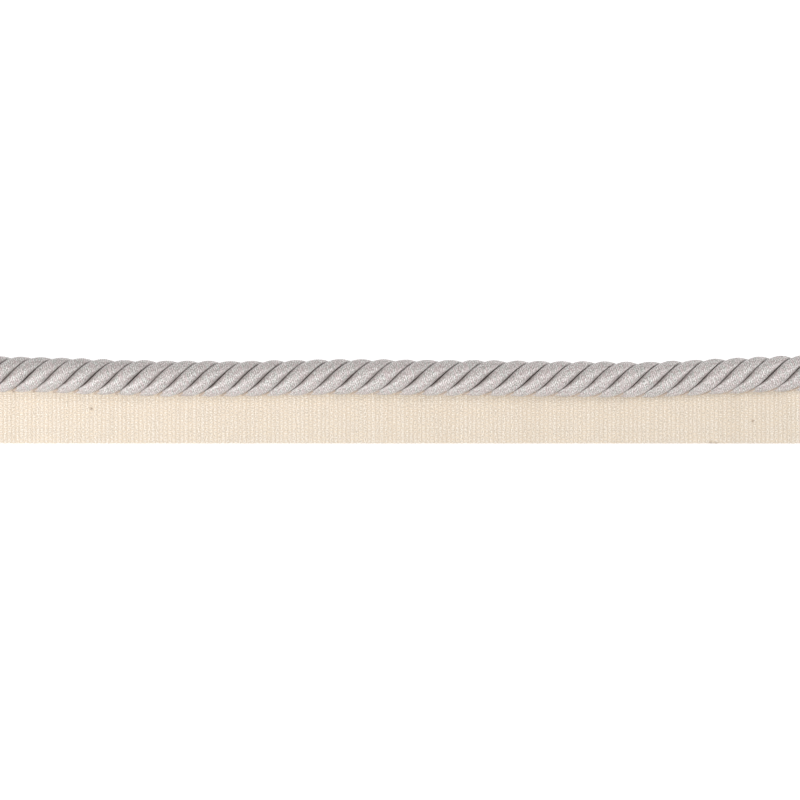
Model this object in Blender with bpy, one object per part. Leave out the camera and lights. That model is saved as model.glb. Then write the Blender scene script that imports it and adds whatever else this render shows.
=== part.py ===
# A cut length of twisted cord trim: a four-strand cord sewn along one edge of a woven tape.
# Metres, +Z up. X runs along the trim, Y across it, from the tape's free edge to the cord.
# The origin is the middle of the tape's flat underside, which lies on the table.

import math
from collections import namedtuple

import bmesh
import bpy
import numpy as np

COLLECTION = "cord_trim"

# Driving dimensions
TRIM_LENGTH = 0.220
TAPE_WIDTH = 0.019
TAPE_THICKNESS = 0.0010
RIB_PITCH = 0.00112
RIB_RELIEF = 0.00015
CORD_DIAMETER = 0.0095
CORD_INSET = 0.0016  # from the tape's covered edge in to the cord's mean axis
CORD_CLEARANCE = 0.0003  # between the tape's ribs and the cord laid on them
STRAND_COUNT = 4
STRAND_DEPTH = 0.0036  # a strand's section towards the cord's axis
STRAND_SPREAD = 0.0048  # the same section around the cord, wider because it is cut on the slant
VALLEY_FACES_UP_AT = -0.0129  # where along X a valley between two strands faces straight up

# Steps that the twist needs to look round
STRAND_STEPS = 6
LENGTH_STEPS = 160

# How the cord lies. At each station, STRAY is how far the axis swings towards +Y
# and LEAD is the length of one full turn of the strands from there to the next station.
Station = namedtuple("Station", "x stray lead")
LAY = [
    Station(x=-0.110, stray=0.00105, lead=0.0217),
    Station(x=-0.092, stray=0.00078, lead=0.0218),
    Station(x=-0.079, stray=0.00029, lead=0.0220),
    Station(x=-0.066, stray=-0.00008, lead=0.0222),
    Station(x=-0.053, stray=-0.00021, lead=0.0227),
    Station(x=-0.037, stray=-0.00012, lead=0.0231),
    Station(x=-0.013, stray=0.00029, lead=0.0233),
    Station(x=0.004, stray=0.00010, lead=0.0237),
    Station(x=0.023, stray=-0.00002, lead=0.0232),
    Station(x=0.040, stray=-0.00021, lead=0.0231),
    Station(x=0.052, stray=-0.00034, lead=0.0228),
    Station(x=0.066, stray=-0.00040, lead=0.0231),
    Station(x=0.079, stray=0.00018, lead=0.0232),
    Station(x=0.092, stray=0.00077, lead=0.0232),
    Station(x=0.110, stray=0.00150, lead=0.0232),
]

# Places worked out from the driving dimensions
CORD_RADIUS = CORD_DIAMETER / 2
STRAND_CENTRE = CORD_RADIUS - STRAND_DEPTH / 2
CORD_AXIS_Y = TAPE_WIDTH / 2 - CORD_INSET
CORD_AXIS_Z = TAPE_THICKNESS + CORD_CLEARANCE + CORD_RADIUS

# Colours are linear red, green and blue
FINISHES = {
    "cord": {"colour": (0.52, 0.48, 0.46), "roughness": 0.80, "metallic": 0.0},
    "tape": {"colour": (0.84, 0.73, 0.59), "roughness": 0.90, "metallic": 0.0},
}


def clear_scene():
    """Remove everything that the file opened with."""
    for old in list(bpy.data.objects):
        bpy.data.objects.remove(old)


def new_collection(name):
    """A collection in the scene, for the parts or for the guides."""
    made = bpy.data.collections.new(name)
    bpy.context.scene.collection.children.link(made)
    return made


def finish_of(name):
    """The material of one sub-part, from its row in FINISHES."""
    finish = FINISHES[name]
    material = bpy.data.materials.new(name)
    material.use_nodes = True
    shader = material.node_tree.nodes["Principled BSDF"]
    shader.inputs["Base Color"].default_value = (*finish["colour"], 1.0)
    shader.inputs["Roughness"].default_value = finish["roughness"]
    shader.inputs["Metallic"].default_value = finish["metallic"]
    return material


def smooth_through(stations, values, x):
    """The value at x on a smooth curve through a value at each station."""
    slopes = np.gradient(values, stations)
    last = np.clip(np.searchsorted(stations, x) - 1, 0, len(stations) - 2)
    span = stations[last + 1] - stations[last]
    t = (x - stations[last]) / span
    rise = values[last + 1] - values[last]
    start_slope = slopes[last] * span
    end_slope = slopes[last + 1] * span
    blend = t * t * (3 - 2 * t)
    start_pull = t * (1 - t) * (1 - t)
    end_pull = t * t * (t - 1)
    return values[last] + rise * blend + start_slope * start_pull + end_slope * end_pull


def turn_along(x):
    """How far the strands have turned at x, in radians: none where a valley faces straight up."""
    stations = np.array([station.x for station in LAY])
    leads = np.array([station.lead for station in LAY])
    steps = 2 * math.pi * np.diff(stations) / leads[:-1]
    turned = np.concatenate([[0.0], np.cumsum(steps)])
    at_valley = smooth_through(stations, turned, np.array([VALLEY_FACES_UP_AT]))[0]
    return smooth_through(stations, turned, x) - at_valley


def strand_reach(angle):
    """How far the cord's outline is from its axis, at an angle from the middle of a strand.

    The strand's section is an ellipse whose centre is STRAND_CENTRE from the axis."""
    depth = STRAND_DEPTH / 2
    spread = STRAND_SPREAD / 2
    along = math.cos(angle)
    across = math.sin(angle)
    a = (along / depth) ** 2 + (across / spread) ** 2
    b = STRAND_CENTRE * along / depth**2
    c = (STRAND_CENTRE / depth) ** 2 - 1
    return (b + math.sqrt(max(b * b - a * c, 0.0))) / a


def cord_section(collection):
    """The cord's outline cut square across, a valley at its first point. It guides the cord's bevel."""
    curve = bpy.data.curves.new("cord_section", "CURVE")
    curve.dimensions = "2D"
    outline = curve.splines.new("POLY")
    outline.points.add(STRAND_COUNT * STRAND_STEPS - 1)
    step = 2 * math.pi / len(outline.points)
    half_strand = math.pi / STRAND_COUNT
    for number, point in enumerate(outline.points):
        angle = -number * step
        from_strand = angle % (2 * half_strand) - half_strand
        reach = strand_reach(from_strand)
        point.co = (reach * math.cos(angle), reach * math.sin(angle), 0.0, 1.0)
    outline.use_cyclic_u = True
    section = bpy.data.objects.new("cord_section", curve)
    section.hide_render = True
    section.display_type = "WIRE"
    collection.objects.link(section)
    return section


def make_cord(collection, guides):
    """The cord: the section swept along its gently wandering axis and turned as it goes."""
    x = np.linspace(-TRIM_LENGTH / 2, TRIM_LENGTH / 2, LENGTH_STEPS + 1)
    stations = np.array([station.x for station in LAY])
    strays = np.array([station.stray for station in LAY])
    stray = smooth_through(stations, strays, x)
    turn = turn_along(x)
    curve = bpy.data.curves.new("cord", "CURVE")
    curve.dimensions = "3D"
    curve.twist_mode = "Z_UP"
    curve.bevel_mode = "OBJECT"
    curve.bevel_object = cord_section(guides)
    curve.use_fill_caps = True
    axis = curve.splines.new("POLY")
    axis.points.add(LENGTH_STEPS)
    for point, along, across, tilt in zip(axis.points, x, stray, turn):
        point.co = (along, across, 0.0, 1.0)
        point.tilt = -tilt  # the strands climb towards +Y as X grows, seen from above
    cord = bpy.data.objects.new("cord", curve)
    cord.location = (0.0, CORD_AXIS_Y, CORD_AXIS_Z)
    curve.materials.append(finish_of("cord"))
    collection.objects.link(cord)
    return cord


def make_tape(collection):
    """The tape: a flat band whose upper face is raised in ribs that run from edge to edge."""
    ribs = round(TRIM_LENGTH / RIB_PITCH)
    band = bmesh.new()
    bmesh.ops.create_cube(band, size=1.0)
    bmesh.ops.scale(band, vec=(TRIM_LENGTH, TAPE_WIDTH, TAPE_THICKNESS), verts=band.verts)
    bmesh.ops.translate(band, vec=(0.0, 0.0, TAPE_THICKNESS / 2), verts=band.verts)
    lengthwise = [edge for edge in band.edges if edge.calc_length() > TRIM_LENGTH * 0.99]
    bmesh.ops.subdivide_edges(band, edges=lengthwise, cuts=2 * ribs - 1, use_grid_fill=True)
    half_rib = TRIM_LENGTH / (2 * ribs)
    for point in band.verts:
        column = round((point.co.x + TRIM_LENGTH / 2) / half_rib)
        if point.co.z > TAPE_THICKNESS / 2 and column % 2 == 0:
            point.co.z -= RIB_RELIEF
    mesh = bpy.data.meshes.new("tape")
    band.to_mesh(mesh)
    band.free()
    mesh.materials.append(finish_of("tape"))
    tape = bpy.data.objects.new("tape", mesh)
    collection.objects.link(tape)
    return tape


def main():
    clear_scene()
    parts = new_collection(COLLECTION)
    guides = new_collection("guides")
    make_tape(parts)
    make_cord(parts, guides)


main()
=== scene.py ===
import math

import bpy
import numpy as np
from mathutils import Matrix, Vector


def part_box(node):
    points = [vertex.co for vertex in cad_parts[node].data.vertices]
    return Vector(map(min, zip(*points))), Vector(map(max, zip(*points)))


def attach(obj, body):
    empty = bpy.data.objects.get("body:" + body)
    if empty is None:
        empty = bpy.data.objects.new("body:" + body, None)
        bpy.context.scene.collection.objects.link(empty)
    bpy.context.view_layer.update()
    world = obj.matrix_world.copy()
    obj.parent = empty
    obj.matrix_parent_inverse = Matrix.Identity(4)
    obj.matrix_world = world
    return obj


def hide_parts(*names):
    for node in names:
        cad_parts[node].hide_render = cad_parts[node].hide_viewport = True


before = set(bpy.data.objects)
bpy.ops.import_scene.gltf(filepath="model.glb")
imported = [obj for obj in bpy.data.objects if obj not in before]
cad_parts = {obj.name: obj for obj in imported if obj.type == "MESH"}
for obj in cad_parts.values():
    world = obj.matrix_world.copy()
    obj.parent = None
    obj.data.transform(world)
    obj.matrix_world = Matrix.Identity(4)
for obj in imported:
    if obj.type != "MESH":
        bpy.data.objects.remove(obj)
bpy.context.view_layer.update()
tapeLow, tapeHigh = (np.array(corner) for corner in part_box("tape"))
cordLow, cordHigh = (np.array(corner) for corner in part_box("cord"))
print("frame loaded")

# The trim's own sizes, in metres. X runs along it, the tape lies on z = 0
trim = {
    "length": 0.220,
    "cordRadius": 0.00469,
    "cordInset": 0.0016,  # the cord's axis lies this far in from the tape's covered edge
    "strands": 4,
    "strandDepth": 0.0036,
    "strandSpread": 0.00505,
    "crownRound": 0.09,  # how much rounder a strand's top is than an ellipse
    "valleyUpAt": -0.0129,  # where along X a groove faces straight up
    "pressedIn": 0.00002,  # the cord's underside is pressed this far into the tape
}
trim["axisY"] = tapeHigh[1] - trim["cordInset"]
trim["axisZ"] = (cordLow[2] + cordHigh[2]) / 2
trim["strandCentre"] = trim["cordRadius"] - trim["strandDepth"] / 2
trim["underReach"] = trim["axisZ"] - tapeHigh[2] + trim["pressedIn"]

# The cord's lay, as in the solids: x, how far the axis swings to +Y, one turn from there on
lay = {
    "x": [-0.110, -0.092, -0.079, -0.066, -0.053, -0.037, -0.013, 0.004,
          0.023, 0.040, 0.052, 0.066, 0.079, 0.092, 0.110],
    "stray": [0.00105, 0.00078, 0.00029, -0.00008, -0.00021, -0.00012, 0.00029, 0.00010,
              -0.00002, -0.00021, -0.00034, -0.00040, 0.00018, 0.00077, 0.00150],
    "lead": [0.0217, 0.0218, 0.0220, 0.0222, 0.0227, 0.0231, 0.0233, 0.0237,
             0.0232, 0.0231, 0.0228, 0.0231, 0.0232, 0.0232, 0.0232],
}

# Camera: straight above, where the photograph was taken from
photo = {
    "frameWidth": 0.2112,  # what the picture's width covers
    "lens": 135.0,
    "sensor": 36.0,
    "cordRow": 378.0,  # the row of the cord's mean axis in the 800 pixel picture
    "pixels": 800.0,
    "focusHeight": 0.004,
}


def placeCamera():
    data = bpy.data.cameras.new("photoCamera")
    data.lens = photo["lens"]
    data.sensor_width = photo["sensor"]
    data.clip_start = 0.01
    data.clip_end = 10
    camera = bpy.data.objects.new("photoCamera", data)
    metresPerPixel = photo["frameWidth"] / photo["pixels"]
    below = (photo["pixels"] / 2 - photo["cordRow"]) * metresPerPixel
    away = photo["frameWidth"] * photo["lens"] / photo["sensor"]
    camera.location = (0, trim["axisY"] - below, photo["focusHeight"] + away)
    bpy.context.collection.objects.link(camera)
    bpy.context.scene.camera = camera


placeCamera()
print("camera placed")


# Curves through the lay's stations

def smoothThrough(stations, values, x):
    slopes = np.gradient(values, stations)
    last = np.clip(np.searchsorted(stations, x) - 1, 0, len(stations) - 2)
    span = stations[last + 1] - stations[last]
    t = (x - stations[last]) / span
    rise = values[last + 1] - values[last]
    pull = slopes[last] * t * (1 - t) ** 2 + slopes[last + 1] * t * t * (t - 1)
    return values[last] + rise * t * t * (3 - 2 * t) + pull * span


def smoothStep(t):
    t = np.clip(t, 0, 1)
    return t * t * (3 - 2 * t)


def strayAt(x):
    return smoothThrough(np.array(lay["x"]), np.array(lay["stray"]), x)


def turnAt(x):
    stations = np.array(lay["x"])
    steps = 2 * math.pi * np.diff(stations) / np.array(lay["lead"])[:-1]
    turned = np.concatenate([[0.0], np.cumsum(steps)])
    start = smoothThrough(stations, turned, np.array([trim["valleyUpAt"]]))[0]
    return smoothThrough(stations, turned, x) - start


# Mesh helpers

def closedMesh(name, points, quads, triangles):
    # one mesh from quads and the triangles that close its ends
    quads, triangles = np.ravel(quads), np.ravel(triangles)
    corners = np.concatenate([quads, triangles]).astype(np.int32)
    starts = [np.arange(0, quads.size, 4), quads.size + np.arange(0, triangles.size, 3)]
    starts = np.concatenate(starts).astype(np.int32)
    mesh = bpy.data.meshes.new(name)
    mesh.vertices.add(len(points))
    mesh.vertices.foreach_set("co", np.asarray(points, dtype=np.float32).ravel())
    mesh.loops.add(len(corners))
    mesh.loops.foreach_set("vertex_index", corners)
    mesh.polygons.add(len(starts))
    mesh.polygons.foreach_set("loop_start", starts)
    mesh.polygons.foreach_set("use_smooth", np.ones(len(starts), dtype=bool))
    mesh.update(calc_edges=True)
    thing = bpy.data.objects.new(name, mesh)
    bpy.context.collection.objects.link(thing)
    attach(thing, "root")
    return thing


def pointValues(thing, name, values, kind="FLOAT", field="value"):
    layer = thing.data.attributes.new(name, kind, "POINT")
    layer.data.foreach_set(field, np.asarray(values, dtype=np.float32).ravel())


def gridFaces(rows, columns, wrap=False):
    # quads between neighbouring rows and columns, the last column joined to the first if wrap
    row = np.arange(rows - 1)[:, None]
    column = np.arange(columns if wrap else columns - 1)[None, :]
    following = (column + 1) % columns
    a = row * columns + column
    b = row * columns + following
    c = (row + 1) * columns + following
    d = (row + 1) * columns + column
    return np.stack([a, b, c, d], axis=-1).reshape(-1, 4)


def endCaps(steps, sides):
    # triangles that close both ends of a tube
    rim = np.arange(sides)
    top = (steps - 1) * sides
    low = np.stack([np.zeros(sides - 2, int), rim[2:], rim[1:-1]], axis=-1)
    high = np.stack([np.full(sides - 2, top), top + rim[1:-1], top + rim[2:]], axis=-1)
    return np.concatenate([low, high])


def tubesAlong(paths, radii, sides, lean):
    # closed tubes along paths shaped (tubes, steps, 3), with one radius for each step
    tubes, steps, _ = paths.shape
    direction = np.gradient(paths, axis=1)
    direction /= np.linalg.norm(direction, axis=-1, keepdims=True)
    aside = np.cross(direction, lean)
    aside /= np.linalg.norm(aside, axis=-1, keepdims=True)
    other = np.cross(direction, aside)
    angle = 2 * math.pi * np.arange(sides) / sides
    ring = aside[:, :, None] * np.cos(angle)[:, None] + other[:, :, None] * np.sin(angle)[:, None]
    points = paths[:, :, None, :] + ring * np.asarray(radii)[None, :, None, None]
    shift = (np.arange(tubes) * steps * sides)[:, None, None]
    quads = (gridFaces(steps, sides, wrap=True)[None] + shift).reshape(-1, 4)
    caps = (endCaps(steps, sides)[None] + shift).reshape(-1, 3)
    return points.reshape(-1, 3), quads, caps


def joinedMesh(name, parts):
    # one mesh from several sets of points, quads and triangles
    points, quads, caps = [], [], []
    first = 0
    for somePoints, someQuads, someCaps in parts:
        points.append(somePoints)
        quads.append(someQuads + first)
        caps.append(someCaps + first)
        first += len(somePoints)
    return closedMesh(name, np.concatenate(points), np.concatenate(quads), np.concatenate(caps))


def ripples(seed, x, scale):
    # a smooth random run of values along x, about -1 to 1
    random = np.random.default_rng(seed)
    low = x.min() - scale
    knots = random.uniform(-1, 1, int((x.max() - low) / scale) + 4)
    place = (x - low) / scale
    index = np.floor(place).astype(int)
    t = smoothStep(place - index)
    return knots[index] * (1 - t) + knots[index + 1] * t


# The map that the surfaces' patterns bake through, as shares of its width and height
bakeLayout = {
    "margin": 0.005,
    "bandGap": 0.02,  # a share of a band
    "strandsTo": 0.93,  # the strands' bands fill it up to here, and their caps lie above
    "capFirst": 0.05,
    "capApart": 0.1,
    "capRadius": 0.025,
    "capRow": 0.965,
    "faceTo": 0.48,  # the tape's upper face, then its underside, its long edges and its ends
    "underTo": 0.92,
    "edgesFrom": 0.925,
    "edgesApart": 0.03,
    "edgeWide": 0.02,
    "endsRow": 0.985,
    "endsWide": 0.45,
    "endsHigh": 0.012,
}


def bakeMap(thing, corners):
    # one place on the map for each corner of each face
    layer = thing.data.uv_layers.new(name="OFBake")
    layer.uv.foreach_set("vector", np.asarray(corners, dtype=np.float32).ravel())


def bandedMap(rows, faces, bands, low, high):
    # a long grid cut into bands that fill the map from low to high, for the corners gridFaces makes
    row = np.repeat(np.arange(rows - 1), faces)
    column = np.tile(np.arange(faces), rows - 1)
    perBand = math.ceil((rows - 1) / bands)
    band = row // perBand
    along = (row % perBand)[:, None] + np.array([0, 0, 1, 1])
    across = column[:, None] + np.array([0, 1, 1, 0])
    margin, gap = bakeLayout["margin"], bakeLayout["bandGap"]
    u = margin + (1 - 2 * margin) * along / perBand
    v = low + (high - low) * (band[:, None] + gap + (1 - 2 * gap) * across / faces) / bands
    return np.stack([u, v], axis=-1).reshape(-1, 2)


# The cord: four strands laid together, each wound slantwise in fine yarn

strand = {
    "rings": 2400,
    "shownSteps": 30,  # points round the side that shows
    "hiddenSteps": 6,  # and round the side that the other strands hide
    "shownTo": 115,  # degrees each way from straight out
    "wrapPitch": 0.00050,  # from one winding yarn to the next, along the strand
    "wrapStarts": 9,  # yarns wound side by side
    "wrapRelief": 0.000070,
    "wrapMiddle": 1.28,  # sets the middle of the relief at the smooth surface
    "wrapSizes": (0.55, 1.25),
    "drawn": 4096,  # sizes and tones are drawn for this many yarns
    "grainLength": 0.00072,
    "plyPitch": 0.0009,  # from one bump of a yarn's own twist to the next
    "plyRelief": 0.000022,
    "unevenYarn": 0.000006,
    "lumps": 0.00009,
    "lumpLength": 0.006,
    "wander": 0.00010,
    "wanderLength": 0.011,
    "pressedGap": 0.00003,  # half the slit left where two strands press together
    "pressedSoftness": 0.00018,
    "pressedFrom": 0.58,  # the cord's underside is flattened from here down, as a share of its radius
    "pressedWhole": 0.85,  # wholly so from here
    "pressedFill": 0.12,  # and its grooves filled by this power, 1 for not at all
    "grooveBottom": 0.0030,  # from the cord's axis
    "grooveShadeEased": 0.45,  # the painted shade in the grooves is weakened by this towards the cord's two sides
    # and the painted shade on the strands' sides by this
    "flankShadeEased": 0.26,
    "farEasingFrom": -0.15,  # where the weakening of the painted shade starts on the far side, as a share of the cord's radius
    "nearEasingFrom": 0.36,
    "nearEasingOver": 0.4,
    "nearEasing": 0.8,  # how much the painted shade is weakened on the tape's side, against the far side
    # the painted groove shade varies at random along each groove by this much, over this length
    "grooveVaries": 0.16,
    "grooveLength": 0.0013,
    "endBulge": 0.00012,
    "mapBands": 5,
}


def sectionAt(number, x, phi):
    # where the strand's surface is, out from the cord's axis and aside, before the yarn's relief
    depth = trim["strandDepth"] / 2 + strand["lumps"] * ripples(10 + number, x, strand["lumpLength"])
    spread = trim["strandSpread"] / 2 + strand["lumps"] * ripples(20 + number, x, strand["lumpLength"])
    outward = trim["strandCentre"] + depth * (np.cos(phi) - trim["crownRound"] * np.sin(phi) ** 2)
    aside = spread * np.sin(phi)
    most = np.maximum(outward - strand["pressedGap"], 0)
    soft = strand["pressedSoftness"]
    least = 0.5 * (np.abs(aside) + most - np.sqrt((np.abs(aside) - most) ** 2 + soft**2))
    aside = np.sign(aside) * np.maximum(least, 0)
    normalOut = np.cos(phi) / depth
    normalAside = np.sin(phi) * (1 + 2 * trim["crownRound"] * np.cos(phi)) / spread
    size = np.hypot(normalOut, normalAside)
    return outward, aside, normalOut / size, normalAside / size


def placeOnCord(number, x, outward, aside):
    # from out and aside in the cord's own section to a point in the scene
    facing = turnAt(x) + (2 * number + 1) * math.pi / trim["strands"]
    drift = strand["wander"] * ripples(30 + number, x, strand["wanderLength"])
    y = outward * np.sin(facing) + (aside + drift) * np.cos(facing)
    z = outward * np.cos(facing) - (aside + drift) * np.sin(facing)
    low = np.clip(-z / trim["cordRadius"], 0, 1)
    pressed = smoothStep((low - strand["pressedFrom"]) / (strand["pressedWhole"] - strand["pressedFrom"]))
    filled = low + pressed * (low ** strand["pressedFill"] - low)
    z = np.where(z < 0, -filled * trim["underReach"], z)
    return np.stack([x, trim["axisY"] + strayAt(x) + y, trim["axisZ"] + z], axis=-1)


def yarnPlace(x, aside, phi):
    # which winding yarn passes here (its middle at a whole number) and how far along it
    meanLead = float(np.mean(lay["lead"]))
    slant = math.atan2(2 * math.pi * trim["strandCentre"], meanLead)
    along = x / math.cos(slant) + aside * math.sin(slant)
    wrap = along / strand["wrapPitch"] - strand["wrapStarts"] * phi / (2 * math.pi)
    across = phi * trim["strandDepth"] / 2
    return wrap, across


def yarnRelief(number, wrap, across, yarnNumber):
    # round yarns side by side, each with the bumps of its own twist
    random = np.random.default_rng(40 + number)
    drawn = strand["drawn"]
    thickness = random.uniform(*strand["wrapSizes"], drawn)[yarnNumber % drawn]
    twistStart = random.uniform(0, 2 * math.pi, drawn)[yarnNumber % drawn]
    rounded = 2 * np.abs(np.cos(math.pi * wrap)) - strand["wrapMiddle"]
    relief = strand["wrapRelief"] * rounded * thickness
    relief = relief + strand["plyRelief"] * np.cos(2 * math.pi * across / strand["plyPitch"] + twistStart)
    return relief + strand["unevenYarn"] * random.normal(0, 1, wrap.shape)


def yarnDirection(number, x, outward, aside, wrap):
    # which way the winding yarns run over the strand's smooth surface
    smooth = placeOnCord(number, x, outward, aside)
    downRows, downColumns = np.gradient(smooth, axis=(0, 1))
    wrapRows, wrapColumns = np.gradient(wrap)
    direction = wrapRows[..., None] * downColumns - wrapColumns[..., None] * downRows
    return direction / np.linalg.norm(direction, axis=-1, keepdims=True)


def makeStrand(number):
    rings = strand["rings"]
    shown = math.radians(strand["shownTo"])
    outer = np.linspace(-shown, shown, strand["shownSteps"])
    inner = np.linspace(shown, 2 * math.pi - shown, strand["hiddenSteps"] + 2)[1:-1]
    phi = np.concatenate([outer, inner])[::-1][None, :]
    around = phi.size
    x = np.linspace(-trim["length"] / 2, trim["length"] / 2, rings)[:, None]
    x, phi = np.broadcast_arrays(x, phi)
    outward, aside, normalOut, normalAside = sectionAt(number, x, phi)
    wrap, across = yarnPlace(x, aside, phi)
    yarnNumber = np.floor(wrap + 0.5).astype(int)
    relief = yarnRelief(number, wrap, across, yarnNumber)
    runs = yarnDirection(number, x, outward, aside, wrap).reshape(-1, 3)
    outward = outward + normalOut * relief
    aside = aside + normalAside * relief
    points = placeOnCord(number, x, outward, aside).reshape(-1, 3)
    quads = gridFaces(rings, around, wrap=True)
    middles = []
    fans = []
    first = len(points)
    for ring, bulge in ((0, -strand["endBulge"]), (rings - 1, strand["endBulge"])):
        rim = ring * around + np.arange(around)
        middles.append(points[rim].mean(axis=0) + np.array([bulge, 0, 0]))
        following = np.roll(rim, -1)
        turned = (rim, following) if ring == 0 else (following, rim)
        centre = np.full(around, first + len(middles) - 1)
        fans.append(np.stack([centre, turned[1], turned[0]], axis=-1))
    points = np.concatenate([points, middles])
    thing = closedMesh(f"strand{number + 1}", points, quads, np.concatenate(fans))
    ends = np.zeros(2)
    # crown is how far out from the groove bottom a point lies; it sets the painted shade on the strands'
    # sides and in the grooves, both weakened towards the cord's two sides
    bottom = strand["grooveBottom"]
    crown = (np.hypot(outward, aside) - bottom) / (trim["cordRadius"] - bottom)
    side = points[: rings * around, 1].reshape(rings, around) - trim["axisY"] - strayAt(x)
    side = side / trim["cordRadius"]
    near = smoothStep((-side - strand["nearEasingFrom"]) / strand["nearEasingOver"])
    shadeEasing = smoothStep(side - strand["farEasingFrom"]) + strand["nearEasing"] * near
    filled = crown + strand["grooveShadeEased"] * shadeEasing
    filled = filled + strand["grooveVaries"] * ripples(50 + number, x, strand["grooveLength"])
    crown = crown + strand["flankShadeEased"] * shadeEasing
    runs = np.concatenate([runs, [[0, 1, 0], [0, 1, 0]]])
    pointValues(thing, "yarnRuns", runs, "FLOAT_VECTOR", "vector")
    values = {
        "crown": crown,
        "grooveCrown": filled,
        "yarnAcross": wrap + 1000 * number,
        "yarnAlong": across / strand["grainLength"],
    }
    for name, value in values.items():
        pointValues(thing, name, np.concatenate([value.ravel(), ends]))
    tones = np.random.default_rng(60 + number).uniform(0, 1, strand["drawn"])[yarnNumber % strand["drawn"]]
    pointValues(thing, "yarnTone", np.concatenate([tones.ravel(), ends + 0.5]))
    corners = bandedMap(rings, around, strand["mapBands"], 0, bakeLayout["strandsTo"])
    capCorners = []
    for end in range(2):
        rimAt = 2 * math.pi * np.arange(around) / around
        middle = np.array([bakeLayout["capFirst"] + bakeLayout["capApart"] * end, bakeLayout["capRow"]])
        rimMap = middle + bakeLayout["capRadius"] * np.stack([np.cos(rimAt), np.sin(rimAt)], axis=-1)
        nextMap = np.roll(rimMap, -1, axis=0)
        middleMap = np.broadcast_to(middle, rimMap.shape)
        pair = (nextMap, rimMap) if end == 0 else (rimMap, nextMap)
        capCorners.append(np.stack([middleMap, *pair], axis=1).reshape(-1, 2))
    bakeMap(thing, np.concatenate([corners, *capCorners]))
    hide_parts("cord")
    return thing


strands = [makeStrand(number) for number in range(trim["strands"])]
print("strands laid")


# Loose fibres standing a little off the strands

fuzz = {
    "hairs": 1200,
    "clearOfEnds": 0.001,
    "thickness": 0.000011,
    "shortest": 0.0004,
    "longest": 0.0014,
    "steps": 5,
    "sides": 3,
    "tip": 0.35,  # how thin it is there
    "spread": 1.3,  # radians each way from straight out of its strand
    "lifts": (0.1, 0.75),
    "liftCurve": 1.5,
    "droop": 0.35,
    "turnRadius": 0.0018,
    "rootDeep": 0.00003,
    "lean": (0.31, 0.62, 0.72),  # a direction that no hair follows, to set its sides by
}


def makeFuzz():
    random = np.random.default_rng(7)
    share = fuzz["hairs"] // trim["strands"]
    half = trim["length"] / 2 - fuzz["clearOfEnds"]
    paths = []
    t = np.linspace(0, 1, fuzz["steps"])[None, :]
    for number in range(trim["strands"]):
        x = random.uniform(-half, half, share)[:, None]
        phi = random.uniform(-fuzz["spread"], fuzz["spread"], share)[:, None]
        reach = random.uniform(fuzz["shortest"], fuzz["longest"], share)[:, None]
        lift = random.uniform(*fuzz["lifts"], share)[:, None] ** fuzz["liftCurve"]
        lean = random.uniform(-1, 1, share)[:, None]
        xs = x + reach * lean * t * (1 - lift) + 0 * t
        turn = random.choice([-1, 1], share)[:, None] / fuzz["turnRadius"]
        phis = phi + reach * turn * t * (1 - lift)
        outward, aside, normalOut, normalAside = sectionAt(number, xs, phis)
        height = reach * lift * (t - fuzz["droop"] * t * t) - fuzz["rootDeep"]
        outward = outward + normalOut * height
        aside = aside + normalAside * height
        paths.append(placeOnCord(number, xs, outward, aside))
    radii = fuzz["thickness"] * np.linspace(1, fuzz["tip"], fuzz["steps"])
    tubes = tubesAlong(np.concatenate(paths), radii, fuzz["sides"], fuzz["lean"])
    thing = closedMesh("cordFuzz", *tubes)
    return thing


cordFuzz = makeFuzz()
print("fuzz raised")


# Cut yarn ends that fill the strands' sections where the trim is cut

cutEnds = {
    "yarnRadius": 0.00025,
    "spacing": 0.00046,
    "rows": 5,  # the most each way, more than there is room for
    "columns": 6,
    "shortest": 0.00010,
    "longest": 0.00060,
    "coreReach": 0.0013,
    "coreDeep": 0.0030,  # the yarns in the cord's middle go this far in
    "corePlaces": [(0.00036, 0), (0.00078, 0), (0.00118, 0), (0.00095, 0.00042), (0.00095, -0.00042)],
    "margins": (0.7, 0.9, 0.6),  # spacings kept clear out, aside and at the next strand
    "sides": 8,
    "shape": [(-0.4, 0.9), (0.55, 1.0), (0.85, 0.8), (1.0, 0.45)],  # how far out, how wide
    "sizes": (0.8, 1.1),
    "uneven": 0.00001,
}


def endPlaces():
    # a honeycomb of places inside one strand's section
    pitch = cutEnds["spacing"]
    outMargin, asideMargin, wallMargin = cutEnds["margins"]
    depth = trim["strandDepth"] / 2 - outMargin * pitch
    spread = trim["strandSpread"] / 2 - asideMargin * pitch
    places = []
    for row in range(-cutEnds["rows"], cutEnds["rows"] + 1):
        for column in range(-cutEnds["columns"], cutEnds["columns"] + 1):
            out = row * pitch * math.sqrt(3) / 2
            across = (column + 0.5 * (row % 2)) * pitch
            outward = trim["strandCentre"] + out
            inside = (out / depth) ** 2 + (across / spread) ** 2 < 1
            if inside and abs(across) < outward - wallMargin * pitch:
                places.append((outward, across))
    return np.array(places + cutEnds["corePlaces"])


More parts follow.
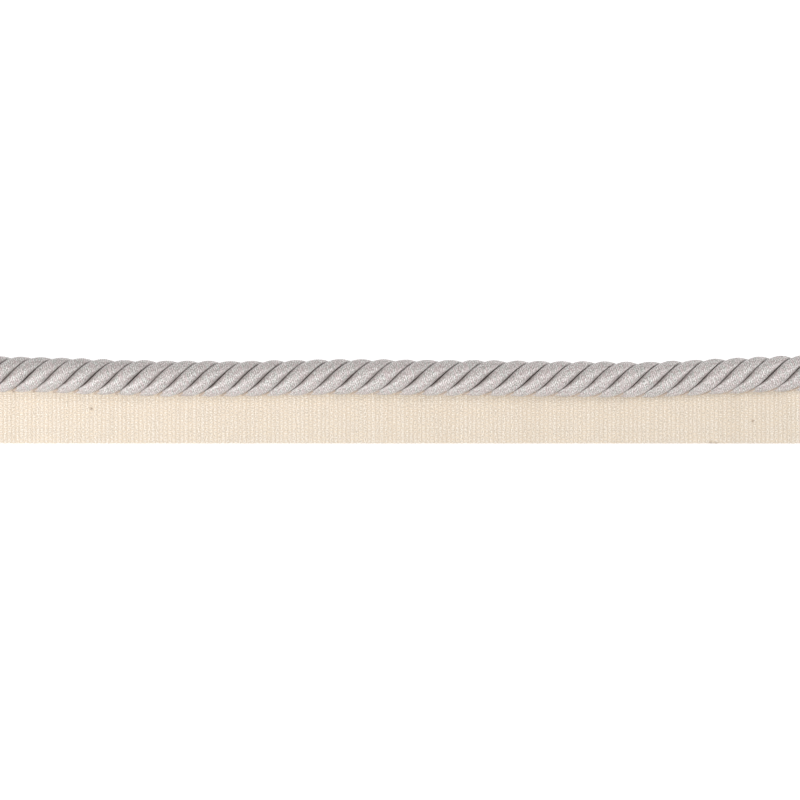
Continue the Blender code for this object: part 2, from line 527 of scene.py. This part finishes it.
def makeCutEnds():
    random = np.random.default_rng(3)
    places = endPlaces()
    sides = cutEnds["sides"]
    shape = cutEnds["shape"]
    angle = 2 * math.pi * np.arange(sides) / sides
    parts = []
    for end in (-1, 1):
        quads = gridFaces(len(shape), sides, wrap=True)[:, ::-end]
        caps = endCaps(len(shape), sides)[:, ::-end]
        for number in range(trim["strands"]):
            for outward, across in places:
                core = outward < cutEnds["coreReach"]
                reach = random.uniform(cutEnds["shortest"], cutEnds["longest"])
                radius = cutEnds["yarnRadius"] * random.uniform(*cutEnds["sizes"])
                rings = []
                for far, wide in shape:
                    deep = cutEnds["coreDeep"] if core and far < 0 else -reach * far
                    x = np.full(sides, end * (trim["length"] / 2 - deep))
                    out = outward + radius * wide * np.cos(angle) + random.normal(0, cutEnds["uneven"])
                    side = across + radius * wide * np.sin(angle)
                    rings.append(placeOnCord(number, x, out, side))
                parts.append((np.concatenate(rings), quads, caps))
    thing = joinedMesh("cutYarnEnds", parts)
    return thing


cutYarnEnds = makeCutEnds()
print("yarn ends cut")


# The tape: a ribbed cotton band, woven one over one

tape = {
    "width": 0.019,
    "thickness": 0.0010,
    "firstPick": 0.001080,  # the ribs' spacing at the trim's left end
    "lastPick": 0.001140,  # and at its right end
    "samplesPerPick": 4,
    "warps": 38,
    "samplesPerWarp": 2,
    "crimp": 0.000050,
    "warpRound": 0.000045,
    "weftRound": 0.000085,
    "weftDrop": 0.000030,
    "weftLow": 0.3,  # how far the ribs lie below the middle, as a share of the crimp
    "warpNarrow": 1.7,
    "weftNarrow": 1.9,
    "pickSizes": (0.85, 1.12),
    "warpSizes": (0.8, 1.15),
    "pickTone": 0.55,  # how much of a yarn's tone is its rib's own
    "betweenWarps": 0.45,  # how much deeper the painted shade in the hollows between the warps is
    "unevenWeave": 0.000014,
    "leftRelief": 1.34,  # the ribs stand out more at the left end than at the right
    "rightRelief": 0.18,
    "edgeRound": 0.00030,
    "edgeScallop": 0.00005,
    "faceFall": 0.30,  # how far the edges fall, as a share of the thickness
    "underRise": 0.20,
    "buckle": 0.00006,
    "buckleLength": 0.009,
    "pulledUp": 0.00075,  # how far the sewing pulls the cloth up along the cord
    "pulledFrom": 0.0060,  # from this far from the cord's axis
    "pulledMost": 0.0042,
    "pulledTo": 0.0029,
    "pulledCurve": 1.8,
    "underLift": 0.00013,  # the lower stitches lie below the cloth
    "mapBands": 5,
}

# Places where the tape is marked or pulled, at x and distance from its free edge
tapeMarks = [
    {"x": -0.0818, "up": 0.0093, "size": 0.00034, "strength": 0.85},
    {"x": 0.0935, "up": 0.0060, "size": 0.00032, "strength": 0.75},
    {"x": 0.0824, "up": 0.0002, "size": 0.00050, "strength": 0.50},
    {"x": 0.0838, "up": 0.0001, "size": 0.00040, "strength": 0.60},
]
tapePull = {"x": 0.0710, "halfLength": 0.0085, "reach": 0.0028, "wave": 0.0042, "sway": 0.00028}


def pickPhases(x):
    # how many ribs lie between the left end and x, the ribs a little wider to the right
    half = trim["length"] / 2
    share = (x + half) / trim["length"]
    first = tape["firstPick"]
    rise = tape["lastPick"] - first
    return trim["length"] / rise * np.log(1 + share * rise / first)


def weaveHeight(phase, warpStep, picks, random):
    # how high the cloth's face is, where the thick ribs and the fine yarns across them cross
    strength = tape["leftRelief"] + (tape["rightRelief"] - tape["leftRelief"]) * phase / picks
    pickNumber = np.floor(phase + 0.5).astype(int)
    warpNumber = np.clip(np.floor(warpStep + 0.5).astype(int), 0, tape["warps"] - 1)
    pickSize = random.uniform(*tape["pickSizes"], picks + 2)[pickNumber]
    warpSize = random.uniform(*tape["warpSizes"], tape["warps"])[warpNumber]
    offWarp = warpStep - warpNumber
    offPick = phase - pickNumber
    over = np.cos(math.pi * (phase + warpNumber))
    warpTop = tape["crimp"] * over * warpSize
    warpBulge = np.sqrt(np.clip(1 - (tape["warpNarrow"] * offWarp) ** 2, 0, 1))
    weftBulge = np.sqrt(np.clip(1 - (tape["weftNarrow"] * offPick) ** 2, 0, 1))
    warpTop = warpTop + tape["warpRound"] * warpBulge
    warpTop = warpTop + tape["weftDrop"] * (np.cos(2 * math.pi * offPick) - 1) * pickSize
    lowest = -tape["crimp"] * tape["weftLow"]
    weftTop = tape["weftRound"] * weftBulge * pickSize + lowest
    weave = np.maximum(warpTop, weftTop)
    # crown sets the painted shade in the weave's hollows, 0 down in them and 1 on top
    crown = np.clip((weave - lowest) / (tape["crimp"] + tape["warpRound"] - lowest), 0, 1)
    crown = crown * (1 - tape["betweenWarps"] * (2 * offWarp) ** 2)
    weave = weave * strength + tape["unevenWeave"] * random.normal(0, 1, phase.shape)
    return weave, crown, over, pickNumber, warpNumber


def tapePlace(x, warpStep, offPick):
    # where a point of the cloth lies, across the tape, with its uneven edges and its pulled place
    y = -tape["width"] / 2 + tape["width"] * (warpStep + 0.5) / tape["warps"]
    up = y + tape["width"] / 2
    fromEdge = np.minimum(up, tape["width"] - up)
    scallop = tape["edgeScallop"] * (0.5 - 0.5 * np.cos(2 * math.pi * offPick))
    y = y + np.sign(-y) * scallop * np.clip(1 - fromEdge / tape["edgeRound"], 0, 1)
    edge = np.clip(fromEdge / tape["edgeRound"], 0, 1)
    fall = 1 - np.sqrt(1 - (1 - edge) ** 2)
    pull = tapePull
    nearPull = np.exp(-(((x - pull["x"]) / pull["halfLength"]) ** 2))
    lineY = trim["axisY"] + strayAt(x) - trim["cordRadius"]
    nearCord = np.exp(-(((y - lineY) / pull["reach"]) ** 2))
    sway = pull["sway"] * np.sin(2 * math.pi * (x - pull["x"]) / pull["wave"])
    return y + sway * nearPull * nearCord, up, fall


def pulledHeight(x, y):
    # the low ridge of cloth that the sewing pulls up against the cord
    away = trim["axisY"] + strayAt(x) - y
    outside = smoothStep((tape["pulledFrom"] - away) / (tape["pulledFrom"] - tape["pulledMost"]))
    inside = smoothStep((away - tape["pulledTo"]) / (tape["pulledMost"] - tape["pulledTo"]))
    return tape["pulledUp"] * outside ** tape["pulledCurve"] * inside


def makeTape():
    half = trim["length"] / 2
    random = np.random.default_rng(5)
    picks = int(pickPhases(np.array([half]))[0])
    phase = np.arange(picks * tape["samplesPerPick"] + 1) / tape["samplesPerPick"]
    rise = tape["lastPick"] - tape["firstPick"]
    share = (np.exp(phase * rise / trim["length"]) - 1) * tape["firstPick"] / rise
    columnX = -half + share * trim["length"]
    columnX = -half + (columnX + half) * trim["length"] / (columnX[-1] + half)
    columns = len(phase)

    # the upper face
    steps = np.arange(tape["warps"] * tape["samplesPerWarp"] + 1) / tape["samplesPerWarp"] - 0.5
    facePhase, faceStep = np.meshgrid(phase, steps, indexing="ij")
    rows = len(steps)
    x = np.broadcast_to(columnX[:, None], facePhase.shape)
    weave, crown, over, pickNumber, warpNumber = weaveHeight(facePhase, faceStep, picks, random)
    top = weave.max()
    y, up, fall = tapePlace(x, faceStep, facePhase - pickNumber)
    buckle = tape["buckle"] / 2 * (1 + ripples(8, x[:, 0], tape["buckleLength"])[:, None])
    buckle = buckle * np.sin(up / tape["width"] * math.pi) ** 2
    z = tape["thickness"] * (1 - tape["faceFall"] * fall) - top + weave - buckle + pulledHeight(x, y)
    face = np.stack([x, y, z], axis=-1)

    # the underside, woven alike but coarser
    underSteps = np.arange(tape["warps"] + 1.0) - 0.5
    underPhase, underStep = np.meshgrid(phase + 1, underSteps, indexing="ij")
    underRows = len(underSteps)
    underX = np.broadcast_to(columnX[:, None], underPhase.shape)
    underWeave, underCrown, underOver, underPick, underWarp = weaveHeight(
        underPhase, underStep, picks + 1, random
    )
    underY, _, underFall = tapePlace(underX, underStep, underPhase - underPick)
    underZ = tape["underLift"] + top - underWeave + tape["underRise"] * tape["thickness"] * underFall
    under = np.stack([underX, underY, np.maximum(underZ, tape["underLift"])], axis=-1)

    # the faces: upper, lower, the two long edges and the two cut ends
    points = np.concatenate([face.reshape(-1, 3), under.reshape(-1, 3)])
    underFirst = columns * rows
    step = np.arange(columns - 1)
    near, nearNext = step * rows, (step + 1) * rows
    far, farNext = near + rows - 1, nearNext + rows - 1
    lowNear, lowNearNext = underFirst + step * underRows, underFirst + (step + 1) * underRows
    lowFar, lowFarNext = lowNear + underRows - 1, lowNearNext + underRows - 1
    freeSide = np.stack([near, lowNear, lowNearNext, nearNext], axis=-1)
    coveredSide = np.stack([far, farNext, lowFarNext, lowFar], axis=-1)
    upper = gridFaces(columns, rows)[:, ::-1]
    lower = underFirst + gridFaces(columns, underRows)
    quads = np.concatenate([upper, lower, freeSide, coveredSide])
    fans = []
    perStep = tape["samplesPerWarp"]
    for column, turn in ((0, -1), (columns - 1, 1)):
        for number in range(underRows - 1):
            low, lowNext = underFirst + column * underRows + number + np.arange(2)
            high = column * rows + number * perStep + np.arange(perStep + 1)
            fans.append((low, high[1], high[0])[::turn])
            fans.append((low, lowNext, high[1])[::turn])
            fans.append((lowNext, high[2], high[1])[::turn])
    fans = np.array(fans)
    thing = closedMesh("wovenTape", points, quads, fans)

    # what the cotton's pattern reads
    pickTones = random.uniform(0, 1, picks + 3)
    warpTones = random.uniform(0, 1, tape["warps"])
    pickShare = tape["pickTone"]
    tones = pickShare * pickTones[pickNumber] + (1 - pickShare) * warpTones[warpNumber]
    underTones = pickShare * pickTones[underPick] + (1 - pickShare) * warpTones[underWarp]
    marks = np.zeros(x.shape)
    for mark in tapeMarks:
        away = np.hypot(x - mark["x"], up - mark["up"])
        marks = np.maximum(marks, mark["strength"] * np.exp(-((away / mark["size"]) ** 2)))
    values = {
        "crown": (crown, underCrown),
        "over": (over * 0.5 + 0.5, underOver * 0.5 + 0.5),
        "yarnTone": (tones, underTones),
        "mark": (marks, np.zeros(underX.shape)),
    }
    for name, both in values.items():
        pointValues(thing, name, np.concatenate([value.ravel() for value in both]))

    bands = tape["mapBands"]
    layout = bakeLayout
    faceMap = bandedMap(columns, rows - 1, bands, 0, layout["faceTo"])
    faceMap = faceMap.reshape(-1, 4, 2)[:, ::-1].reshape(-1, 2)
    lowerMap = bandedMap(columns, underRows - 1, bands, layout["faceTo"], layout["underTo"])
    sideMaps = []
    for number, turns in enumerate(([0, 0, 1, 1], [0, 1, 1, 0])):
        along = (step[:, None] + np.array(turns)) / columns
        across = layout["edgesFrom"] + layout["edgesApart"] * number
        across = across + layout["edgeWide"] * np.roll(turns, 1 - 2 * number)
        u = layout["margin"] + (1 - 2 * layout["margin"]) * along
        sideMaps.append(np.stack([u, np.broadcast_to(across, u.shape)], axis=-1).reshape(-1, 2))
    endCorners = points[fans.ravel()]
    endU = 0.25 + 0.5 * (endCorners[:, :1] > 0) + layout["endsWide"] * endCorners[:, 1:2] / tape["width"]
    endV = layout["endsRow"] + layout["endsHigh"] * endCorners[:, 2:3] / tape["thickness"]
    bakeMap(thing, np.concatenate([faceMap, lowerMap, *sideMaps, np.hstack([endU, endV])]))
    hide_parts("tape")
    return thing


wovenTape = makeTape()
print("tape woven")


# The sewing: a loop of thread up each groove on the tape's side, and a line of stitches below

sewing = {
    "threadRadius": 0.00015,
    "apart": 0.00034,  # the two threads of each loop
    "sides": 6,
    "steps": 13,
    "footAway": 0.00425,  # the loop's foot, this far from the cord's axis, towards the free edge
    "footDeep": 0.00025,  # and this far inside the tape
    "lowAngle": 272,  # degrees round the cord from straight up, where the loop meets the groove
    "highAngle": 295,  # and where it goes in between the strands
    "loopSteps": 6,
    "grooveSteps": 4000,  # how finely each groove's place is looked up
    "outlineSteps": 241,  # and each strand's outline
    "loopLow": 0.0022,  # no part of it lies further below the cord's axis
    "intoCord": 0.5,  # how far the thread sinks into the strand above, and stands off the one below
    "offCord": 0.6,  # both as shares of its radius
    "touching": 0.0001,
    "sunk": [(0.0003, 0.0001, -0.0004), (0.0006, 0.0004, -0.0012)],  # its hidden end between the strands
    "footBack": 0.0002,
    "rise": [0.0, 0.3, 0.55, 0.8],
    "bow": 0.0001,
    "tubeEnds": 0.55,
    "lean": (0.21, 0.35, 0.91),
    "stitchRadius": 0.00012,
    "stitchShare": 0.72,
    "stitchStart": 0.4,
    "stitchLine": 0.0034,  # the lower stitches' distance from the cord's axis
    "stitchSinks": 0.00030,
}


def threads(paths, radius):
    radii = np.full(paths.shape[1], radius)
    radii[[0, -1]] *= sewing["tubeEnds"]
    return tubesAlong(paths, radii, sewing["sides"], sewing["lean"])


def grooveX(angle, groove):
    # where along the trim this groove passes the given angle round the cord
    x = np.linspace(-trim["length"] / 2, trim["length"] / 2, sewing["grooveSteps"])
    turned = turnAt(x)
    return np.interp(angle + groove * 2 * math.pi / trim["strands"], turned, x, left=np.nan, right=np.nan)


def strandOutline(number, x):
    # one strand's outline across the trim at each x, as y and z
    phi = np.linspace(-math.pi, math.pi, sewing["outlineSteps"])[None, :]
    x, phi = np.broadcast_arrays(x[:, None], phi)
    outward, aside, _, _ = sectionAt(number, x, phi)
    points = placeOnCord(number, x, outward, aside)
    return points[..., 1], points[..., 2]


def loopPath(groove, shift):
    # one loop of thread: up out of the tape beside the upper strand's edge, and in between two strands
    angle = np.radians(np.linspace(sewing["lowAngle"], sewing["highAngle"], sewing["loopSteps"]))
    x = grooveX(angle, groove)
    if np.isnan(x).any():
        return None
    upperY, _ = strandOutline(-groove % trim["strands"], x)
    lowerY, lowerZ = strandOutline((-groove - 1) % trim["strands"], x)
    y = upperY.min(axis=1) - sewing["threadRadius"] * sewing["intoCord"] - shift
    near = np.abs(lowerY - y[:, None]) < sewing["touching"]
    z = np.where(near, lowerZ, -1).max(axis=1)
    z = np.maximum(z, trim["axisZ"] - sewing["loopLow"]) + sewing["threadRadius"] * sewing["offCord"]
    over = np.stack([x, y, z], axis=-1)
    sunk = over[-1] + np.array(sewing["sunk"])
    footX = over[0, 0] - sewing["footBack"]
    footY = min(trim["axisY"] + strayAt(np.array([footX]))[0] - sewing["footAway"], over[0, 1])
    footZ = tapeHigh[2] + pulledHeight(np.array([footX]), footY)[0] - sewing["footDeep"]
    foot = np.array([footX, footY, footZ])
    t = np.array(sewing["rise"])[:, None]
    bow = np.array([0, -sewing["bow"], 0])
    rise = foot + (over[0] - foot) * t + bow * np.sin(math.pi * t)
    return np.concatenate([rise, over, sunk])


def makeSewing():
    perTurn = trim["strands"]
    most = int(2 * perTurn * trim["length"] / min(lay["lead"]))
    sideways = (0, sewing["apart"])
    loops = [loopPath(groove, shift) for groove in range(-most, most) for shift in sideways]
    loops = np.array([path for path in loops if path is not None])
    parts = [threads(loops, sewing["threadRadius"])]
    stitch = float(np.mean(lay["lead"])) / perTurn / 2
    half = trim["length"] / 2
    starts = np.arange(-half + stitch * sewing["stitchStart"], half - stitch, stitch)
    t = np.linspace(0, 1, sewing["steps"])
    x = starts[:, None] + stitch * sewing["stitchShare"] * t
    y = trim["axisY"] + strayAt(x) - sewing["stitchLine"]
    sunk = sewing["stitchSinks"] * (2 * t - 1) ** 6
    z = np.broadcast_to(sewing["stitchRadius"] + sunk, x.shape)
    parts.append(threads(np.stack([x, y, z], axis=-1), sewing["stitchRadius"]))
    thing = joinedMesh("sewingThread", parts)
    return thing


sewingThread = makeSewing()
print("sewn together")


# Materials

def newNode(tree, kind, **settings):
    made = tree.nodes.new(kind)
    for name, value in settings.items():
        setattr(made, name, value)
    return made


def feed(tree, socket, value):
    # a link where the value comes from another node, else the socket's own setting
    if hasattr(value, "is_linked"):
        tree.links.new(value, socket)
    else:
        socket.default_value = value


def groupNode(tree, group, **values):
    made = newNode(tree, "ShaderNodeGroup")
    made.node_tree = group
    for name, value in values.items():
        feed(tree, made.inputs[name], value)
    return made.outputs


def worked(tree, operation, *values, clamp=False):
    made = newNode(tree, "ShaderNodeMath", operation=operation, use_clamp=clamp)
    for socket, value in zip(made.inputs, values):
        feed(tree, socket, value)
    return made.outputs[0]


def newGroup(name, inputs, outputs):
    group = bpy.data.node_groups.new(name, "ShaderNodeTree")
    for label, kind, value in inputs:
        socket = group.interface.new_socket(label, in_out="INPUT", socket_type=kind)
        if value is not None:
            socket.default_value = value
    for label, kind in outputs:
        group.interface.new_socket(label, in_out="OUTPUT", socket_type=kind)
    return group, group.nodes.new("NodeGroupInput"), group.nodes.new("NodeGroupOutput")


def mixColours(tree, factor, first, second, blend="MIX"):
    mix = newNode(tree, "ShaderNodeMix", data_type="RGBA", blend_type=blend)
    for socket, value in ((mix.inputs["Factor"], factor), (mix.inputs[6], first), (mix.inputs[7], second)):
        feed(tree, socket, value)
    return mix.outputs[2]


def valueAttribute(tree, name):
    return newNode(tree, "ShaderNodeAttribute", attribute_name=name).outputs["Fac"]


def countedPlace(tree, *perMetre):
    # where the surface is, counted in grains along each axis
    place = newNode(tree, "ShaderNodeTexCoord")
    scale = newNode(tree, "ShaderNodeVectorMath", operation="MULTIPLY")
    scale.inputs[1].default_value = perMetre
    split = newNode(tree, "ShaderNodeSeparateXYZ")
    tree.links.new(place.outputs["Object"], scale.inputs[0])
    tree.links.new(scale.outputs["Vector"], split.inputs["Vector"])
    return split.outputs


def fibreGrainGroup():
    # fine streaks along a yarn: Across counts yarns, Along counts grains along one
    group, given, result = newGroup(
        "fibreGrain",
        [("Across", "NodeSocketFloat", 0), ("Along", "NodeSocketFloat", 0),
         ("Fineness", "NodeSocketFloat", 3), ("Contrast", "NodeSocketFloat", 1)],
        [("Mask", "NodeSocketFloat"), ("Height", "NodeSocketFloat"), ("Crest", "NodeSocketFloat")],
    )
    links = group.links
    place = newNode(group, "ShaderNodeCombineXYZ")
    links.new(given.outputs["Across"], place.inputs["X"])
    links.new(given.outputs["Along"], place.inputs["Y"])
    noise = newNode(group, "ShaderNodeTexNoise", noise_dimensions="2D")
    noise.inputs["Detail"].default_value = 1.5  # a little finer grain within the grain
    noise.inputs["Roughness"].default_value = 0.65
    links.new(place.outputs["Vector"], noise.inputs["Vector"])
    links.new(given.outputs["Fineness"], noise.inputs["Scale"])
    centred = worked(group, "SUBTRACT", noise.outputs["Fac"], 0.5)
    mask = worked(group, "MULTIPLY_ADD", centred, given.outputs["Contrast"], 0.5, clamp=True)
    # Crest is 1 on each yarn's middle and 0 between yarns; the cord paints shade between its yarns by it
    wave = worked(group, "COSINE", worked(group, "MULTIPLY", given.outputs["Across"], 2 * math.pi))
    crest = worked(group, "MULTIPLY_ADD", wave, 0.5, 0.5)
    for name, value in (("Mask", mask), ("Height", noise.outputs["Fac"]), ("Crest", crest)):
        links.new(value, result.inputs[name])
    return group


def hollowShadeGroup():
    # painted shade, a deeper colour down between yarns or strands: Crown is 0 in the hollow and 1 on top
    group, given, result = newGroup(
        "hollowShade",
        [("Color", "NodeSocketColor", None), ("Hollow", "NodeSocketColor", None),
         ("Crown", "NodeSocketFloat", 1), ("Low", "NodeSocketFloat", 0), ("High", "NodeSocketFloat", 0.4)],
        [("Color", "NodeSocketColor")],
    )
    links = group.links
    level = newNode(group, "ShaderNodeMapRange", interpolation_type="SMOOTHSTEP")
    links.new(given.outputs["Crown"], level.inputs["Value"])
    links.new(given.outputs["Low"], level.inputs["From Min"])
    links.new(given.outputs["High"], level.inputs["From Max"])
    mixed = mixColours(group, level.outputs["Result"], given.outputs["Hollow"], given.outputs["Color"])
    links.new(mixed, result.inputs["Color"])
    return group


fibreGrain = fibreGrainGroup()
hollowShade = hollowShadeGroup()


def newMaterial(name, finish):
    # finish holds the shader's own sockets
    material = bpy.data.materials.new(name)
    material.use_nodes = True
    shader = material.node_tree.nodes["Principled BSDF"]
    for socket, value in finish.items():
        shader.inputs[socket].default_value = value
    return material, material.node_tree, shader


def bumpFrom(tree, height, distance):
    bump = newNode(tree, "ShaderNodeBump")
    bump.inputs["Distance"].default_value = distance
    tree.links.new(height, bump.inputs["Height"])
    return bump.outputs["Normal"]


cordYarn = {
    "dark": (0.27, 0.248, 0.240, 1),
    "light": (0.85, 0.852, 0.84, 1),
    "rosy": (0.66, 0.48, 0.49, 1),
    "rosyShare": 0.30,
    "greenish": (0.455, 0.555, 0.48, 1),
    "tintShare": 0.7,
    "grain": {"Fineness": 1.85, "Contrast": 5.5},
    "tint": {"Fineness": 0.8, "Contrast": 5.0},
    "fibre": {"Fineness": 7.0, "Contrast": 2.0},
    "looseGrains": 2000,  # to the metre, on the loose and cut yarn
    # painted shade down between the winding yarns
    "shadeBetweenYarns": {"Hollow": (0.36, 0.325, 0.305, 1), "Low": -0.3, "High": 0.6},
    "paintedFlankShade": {"Hollow": (0.215, 0.180, 0.166, 1), "Low": 0.10, "High": 0.98},  # painted shade on the strands' sides
    # painted shade down in the grooves between the strands
    "groove": {"Hollow": (0.14, 0.102, 0.09, 1), "Low": 0.12, "High": 0.52},
    "finish": {
        "Roughness": 0.44, "Specular IOR Level": 1.0, "Sheen Weight": 0.08, "Sheen Roughness": 0.4
    },
    "woundFinish": {"Anisotropic": 0.5, "Anisotropic Rotation": 0.25},  # the shine spreads across the yarns
    "fibreBump": 0.00003,
}


def cordYarnMaterial(name, wound=True):
    finish = {**cordYarn["finish"], **(cordYarn["woundFinish"] if wound else {})}
    material, tree, shader = newMaterial(name, finish)
    if wound:
        run = {"Across": valueAttribute(tree, "yarnAcross"), "Along": valueAttribute(tree, "yarnAlong")}
    else:
        counted = countedPlace(tree, *[cordYarn["looseGrains"]] * 3)
        run = {"Across": counted["Y"], "Along": counted["Z"]}
    grain = groupNode(tree, fibreGrain, **run, **cordYarn["grain"])
    colour = mixColours(tree, grain["Mask"], cordYarn["dark"], cordYarn["light"])
    if wound:
        patch = groupNode(tree, fibreGrain, **run, **cordYarn["tint"])
        tint = mixColours(tree, patch["Mask"], cordYarn["greenish"], cordYarn["rosy"])
        colour = mixColours(tree, cordYarn["tintShare"], colour, tint, blend="SOFT_LIGHT")
        rosy = worked(tree, "MULTIPLY", valueAttribute(tree, "yarnTone"), cordYarn["rosyShare"])
        colour = mixColours(tree, rosy, colour, cordYarn["rosy"])
        # painted shade between the yarns, on the strands' sides and in the grooves
        crowns = {
            "shadeBetweenYarns": grain["Crest"],
            "paintedFlankShade": valueAttribute(tree, "crown"),
            "groove": valueAttribute(tree, "grooveCrown"),
        }
        for place, crown in crowns.items():
            colour = groupNode(tree, hollowShade, Color=colour, Crown=crown, **cordYarn[place])["Color"]
        runs = newNode(tree, "ShaderNodeAttribute", attribute_name="yarnRuns")
        tree.links.new(runs.outputs["Vector"], shader.inputs["Tangent"])
    fibre = groupNode(tree, fibreGrain, **run, **cordYarn["fibre"])
    tree.links.new(colour, shader.inputs["Base Color"])
    tree.links.new(bumpFrom(tree, fibre["Height"], cordYarn["fibreBump"]), shader.inputs["Normal"])
    return material


tapeCotton = {
    # painted shade in the hollows between the ribs and the warps
    "valley": {"Hollow": (0.645, 0.53, 0.405, 1), "Low": -0.2, "High": 0.9},
    "dull": (0.49, 0.41, 0.31, 1),
    "float": (1.0, 0.95, 0.885, 1),
    "pale": (0.97, 0.90, 0.82, 1),
    "paleShare": 0.3,
    "weftDull": (0.72, 0.62, 0.49, 1),
    "weftLight": (0.95, 0.84, 0.70, 1),
    "weftShare": 0.40,  # the ribs' share of the colour, at least
    "weftVaries": 0.60,  # and how much more in places
    "leftTint": (1.0, 1.0, 1.0, 1),
    "rightTint": (0.918, 0.918, 0.915, 1),
    "mark": (0.22, 0.13, 0.07, 1),
    "grainsAlong": 1700,  # to the metre
    "grainsAcross": 2000,
    "grain": {"Fineness": 1.9, "Contrast": 6.2},
    "patch": {"Fineness": 0.14, "Contrast": 4.0},
    "finish": {"Roughness": 0.88, "Specular IOR Level": 0.25, "Sheen Weight": 0.1},
    "fibreBump": 0.00005,
}


def tapeCottonMaterial():
    material, tree, shader = newMaterial("tapeCotton", tapeCotton["finish"])
    links = tree.links
    counted = countedPlace(tree, tapeCotton["grainsAlong"], tapeCotton["grainsAcross"], 1)
    run = {"Across": counted["Y"], "Along": counted["X"]}
    grain = groupNode(tree, fibreGrain, **run, **tapeCotton["grain"])
    patch = groupNode(tree, fibreGrain, **run, **tapeCotton["patch"])
    colour = mixColours(tree, grain["Mask"], tapeCotton["dull"], tapeCotton["float"])
    pale = worked(tree, "MULTIPLY", valueAttribute(tree, "yarnTone"), tapeCotton["paleShare"])
    toned = mixColours(tree, pale, colour, tapeCotton["pale"])
    most, least = tapeCotton["weftVaries"], tapeCotton["weftShare"]
    weftShare = worked(tree, "MULTIPLY_ADD", patch["Mask"], most, least)
    weft = newNode(tree, "ShaderNodeMapRange")
    weft.inputs["To Max"].default_value = 0.0
    links.new(weftShare, weft.inputs["To Min"])
    links.new(valueAttribute(tree, "over"), weft.inputs["Value"])
    crossing = mixColours(tree, grain["Mask"], tapeCotton["weftDull"], tapeCotton["weftLight"])
    crossed = mixColours(tree, weft.outputs["Result"], toned, crossing)
    # the weave's hollows get painted shade
    crown = valueAttribute(tree, "crown")
    hollow = groupNode(tree, hollowShade, Color=crossed, Crown=crown, **tapeCotton["valley"])
    share = newNode(tree, "ShaderNodeMapRange")
    share.inputs["From Min"].default_value = -trim["length"] / 2 * tapeCotton["grainsAlong"]
    share.inputs["From Max"].default_value = trim["length"] / 2 * tapeCotton["grainsAlong"]
    links.new(counted["X"], share.inputs["Value"])
    tint = mixColours(tree, share.outputs["Result"], tapeCotton["leftTint"], tapeCotton["rightTint"])
    tinted = mixColours(tree, 1.0, hollow["Color"], tint, blend="MULTIPLY")
    marked = mixColours(tree, valueAttribute(tree, "mark"), tinted, tapeCotton["mark"])
    links.new(marked, shader.inputs["Base Color"])
    links.new(bumpFrom(tree, grain["Height"], tapeCotton["fibreBump"]), shader.inputs["Normal"])
    return material


thread = {
    "dark": (0.42, 0.33, 0.26, 1),
    "light": (0.72, 0.60, 0.50, 1),
    "grains": 3000,  # to the metre
    "grain": {"Fineness": 3.0, "Contrast": 1.5},
    "finish": {"Roughness": 0.5},
    "fibreBump": 0.00002,
}


def sewingThreadMaterial():
    material, tree, shader = newMaterial("sewingThread", thread["finish"])
    counted = countedPlace(tree, *[thread["grains"]] * 3)
    grain = groupNode(tree, fibreGrain, Across=counted["X"], Along=counted["Z"], **thread["grain"])
    colour = mixColours(tree, grain["Mask"], thread["dark"], thread["light"])
    tree.links.new(colour, shader.inputs["Base Color"])
    tree.links.new(bumpFrom(tree, grain["Height"], thread["fibreBump"]), shader.inputs["Normal"])
    return material


woundYarn = cordYarnMaterial("cordYarn")
looseYarn = cordYarnMaterial("looseYarn", wound=False)
for piece in strands:
    piece.data.materials.append(woundYarn)
for piece in (cordFuzz, cutYarnEnds):
    piece.data.materials.append(looseYarn)
wovenTape.data.materials.append(tapeCottonMaterial())
sewingThread.data.materials.append(sewingThreadMaterial())
print("materials made")


# Floor and light

studio = {
    "floor": {
        "Base Color": (0.30, 0.30, 0.30, 1), "Roughness": 0.9,
        "Emission Color": (1, 1, 1, 1), "Emission Strength": 0.92,
    },
    "floorSize": 12.0,
    "floorDrop": 0.00002,
    "skyStrength": 0.26,
    "lights": [
        {"name": "keyLight", "at": (-0.78, -0.28, 0.58), "size": 0.30, "power": 9.3},
        {"name": "fillLight", "at": (0.79, 0.10, 0.62), "size": 0.30, "power": 6.4},
    ],
}


def makeStudio():
    bpy.ops.mesh.primitive_plane_add(size=studio["floorSize"], location=(0, 0, -studio["floorDrop"]))
    floor = bpy.context.object
    floor.name = "paleFloor"
    floor.data.materials.append(newMaterial("paleFloor", studio["floor"])[0])
    world = bpy.data.worlds.new("softSky")
    world.use_nodes = True
    sky = world.node_tree.nodes["Background"]
    sky.inputs["Color"].default_value = (1, 1, 1, 1)
    sky.inputs["Strength"].default_value = studio["skyStrength"]
    bpy.context.scene.world = world
    for light in studio["lights"]:
        data = bpy.data.lights.new(light["name"], "AREA")
        data.shape = "DISK"
        data.size = light["size"]
        data.energy = light["power"]
        lamp = bpy.data.objects.new(light["name"], data)
        lamp.location = light["at"]
        toward = -lamp.location
        lamp.rotation_euler = toward.to_track_quat("-Z", "Y").to_euler()
        bpy.context.collection.objects.link(lamp)
    settings = bpy.context.scene.view_settings
    settings.view_transform = "Standard"
    settings.exposure = 0


makeStudio()
print("studio lit")
